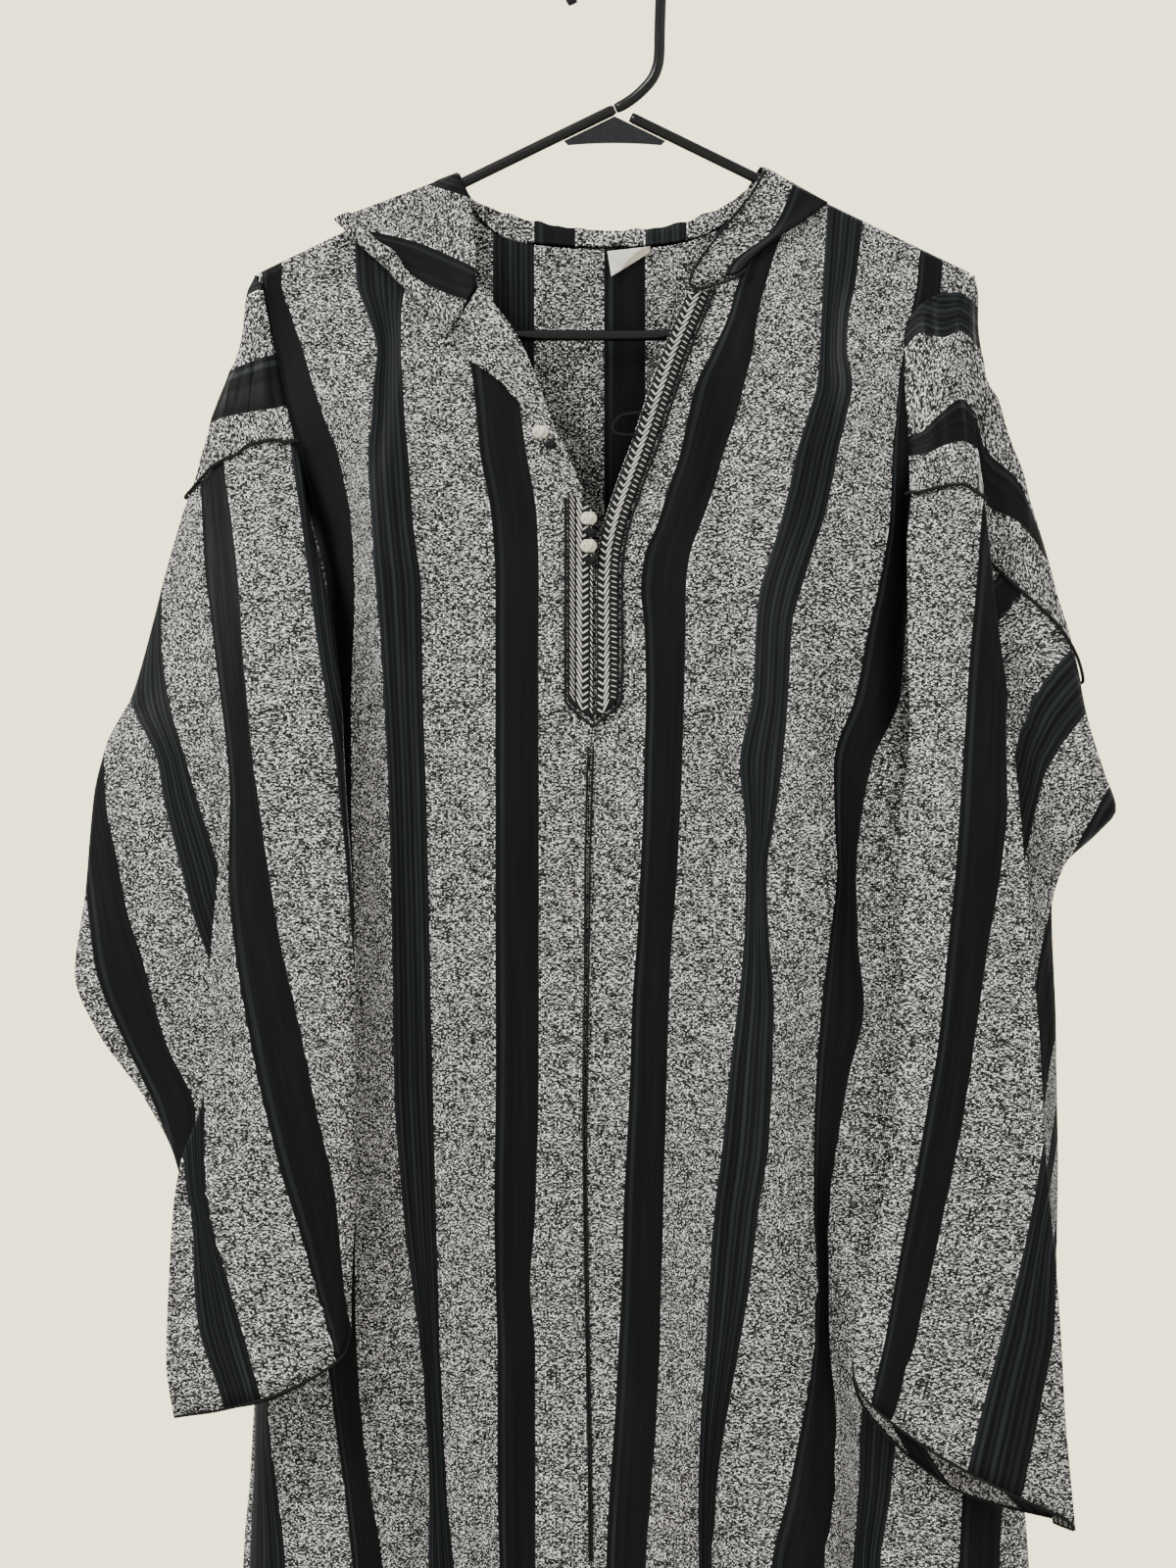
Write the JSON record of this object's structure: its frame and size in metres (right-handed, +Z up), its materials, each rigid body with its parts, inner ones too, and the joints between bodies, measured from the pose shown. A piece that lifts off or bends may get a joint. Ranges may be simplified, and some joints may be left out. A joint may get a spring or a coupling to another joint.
{
  "type": "hooded striped robe on a tubular hanger",
  "caption": "Long hooded djellaba robe in striped slub cloth, with wide sleeves and braided neck slit, hanging on a tubular hanger.",
  "frame": {"origin": "inside of the hook's crown, where a rail touches it", "axes": "+X to the viewer's right when facing the front, +Z up, the front of the robe faces -Y"},
  "size_m": [0.5976, 0.14, 1.5315],
  "materials": {
    "robe_cloth": "black satin stripes between black and white slub stripes",
    "inner_cloth": "wrong side of the slub cloth, matte",
    "black_cord": "twisted matte cord",
    "braid_cloth": "black and cream woven braid",
    "cream_cord": "cream knotted cord",
    "label_cloth": "plain cream woven tape",
    "hanger_plastic": "glossy black"
  },
  "bodies": {
    "root": {"armhole_cord_back_r": "black_cord", "armhole_cord_l": "black_cord", "armhole_cord_r": "black_cord", "back": "robe_cloth", "braid_l": "braid_cloth", "braid_r": "braid_cloth", "button_1": "cream_cord", "button_2": "cream_cord", "button_3": "cream_cord", "button_loop": "black_cord", "centre_cord": "black_cord", "cuff_cord_l": "black_cord", "cuff_cord_r": "black_cord", "drop_l": "robe_cloth", "drop_r": "robe_cloth", "front_l": "robe_cloth", "front_r": "robe_cloth", "hanger_arm_l": "hanger_plastic", "hanger_arm_r": "hanger_plastic", "hanger_bar": "hanger_plastic", "hanger_hook": "hanger_plastic", "hanger_web": "hanger_plastic", "hood": "robe_cloth", "hood_flap_l": "robe_cloth", "hood_flap_r": "robe_cloth", "hood_neck": "robe_cloth", "label": "label_cloth", "lapel_l": "inner_cloth", "loop_knot_1": "black_cord", "loop_knot_2": "black_cord", "loop_knot_3": "black_cord", "neck_cord_r": "black_cord", "placket_cord": "black_cord", "sleeve_l": "robe_cloth", "sleeve_r": "robe_cloth"}
  },
  "joints": []
}
